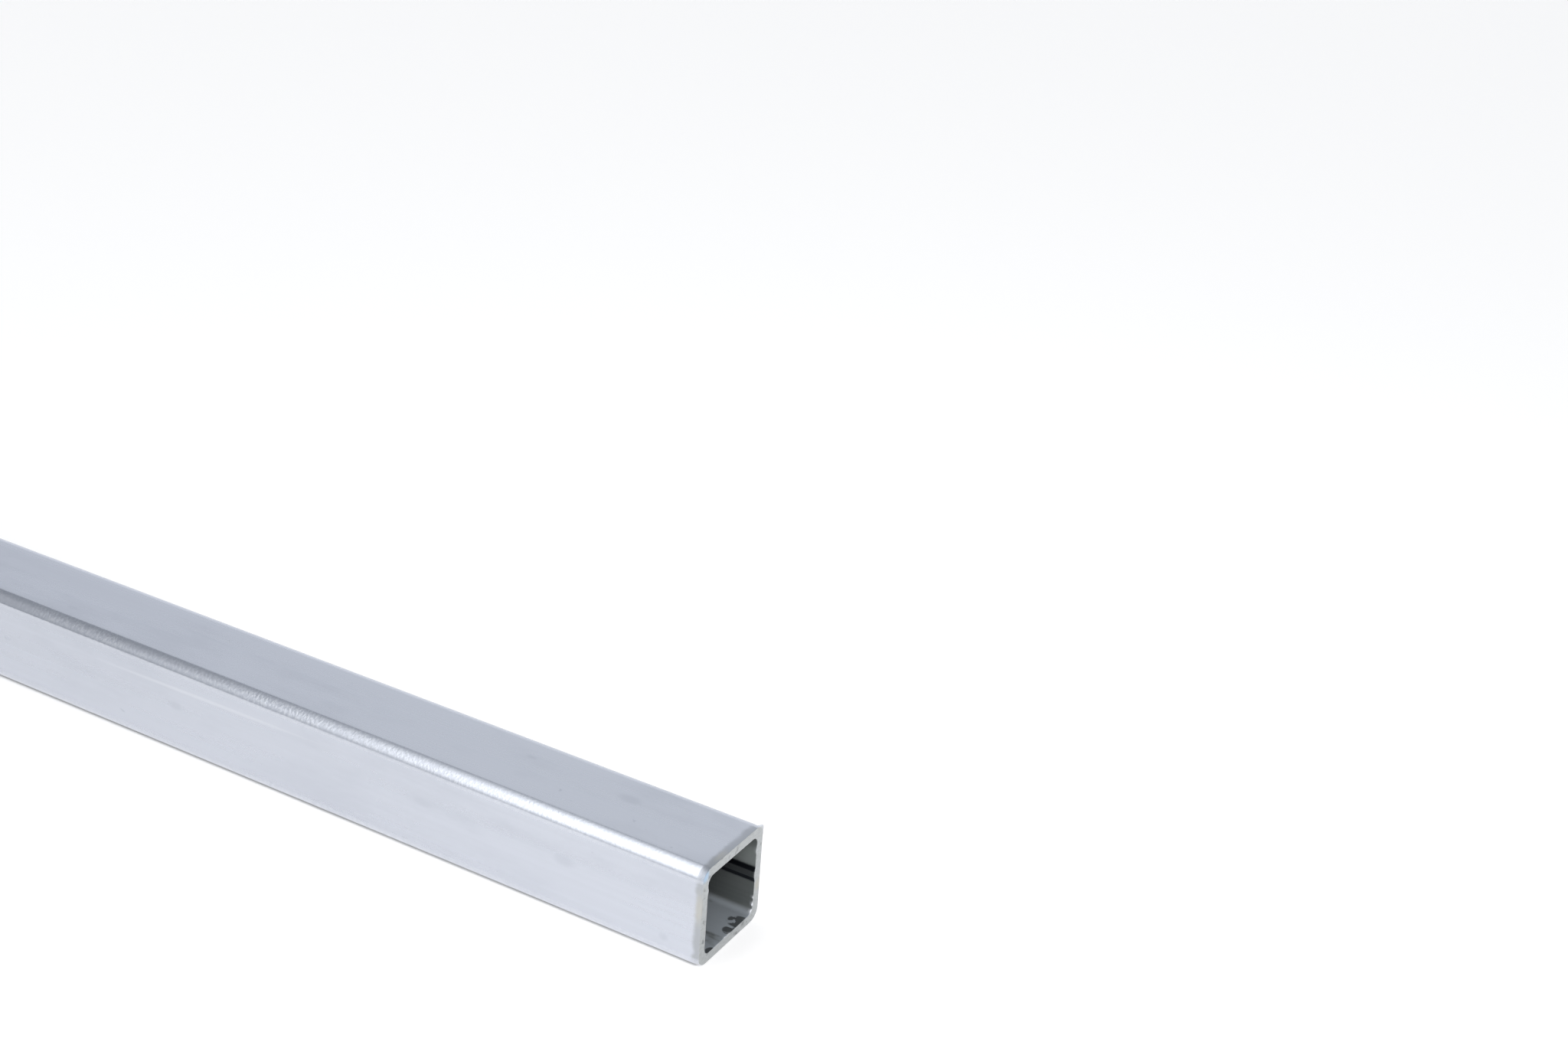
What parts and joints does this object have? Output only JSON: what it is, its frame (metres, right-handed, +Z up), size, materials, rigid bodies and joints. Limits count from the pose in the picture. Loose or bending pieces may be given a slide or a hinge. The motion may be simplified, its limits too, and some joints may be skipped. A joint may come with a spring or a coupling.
{
  "type": "square tube",
  "caption": "Straight stainless steel square tube with rounded corners, open at both sawn ends, for frames, rails and legs.",
  "frame": {"origin": "middle of the lower flat, halfway along the tube, on the floor it lies on", "axes": "+X along the tube towards the open end seen in the picture, -Y towards the flat seen from the front, +Y towards the wall with the weld bead on its inside, +Z up"},
  "size_m": [0.5, 0.02, 0.02],
  "materials": {
    "steel": "satin mill finish, grain along the tube"
  },
  "bodies": {
    "root": {"square_tube": "steel"}
  },
  "joints": []
}
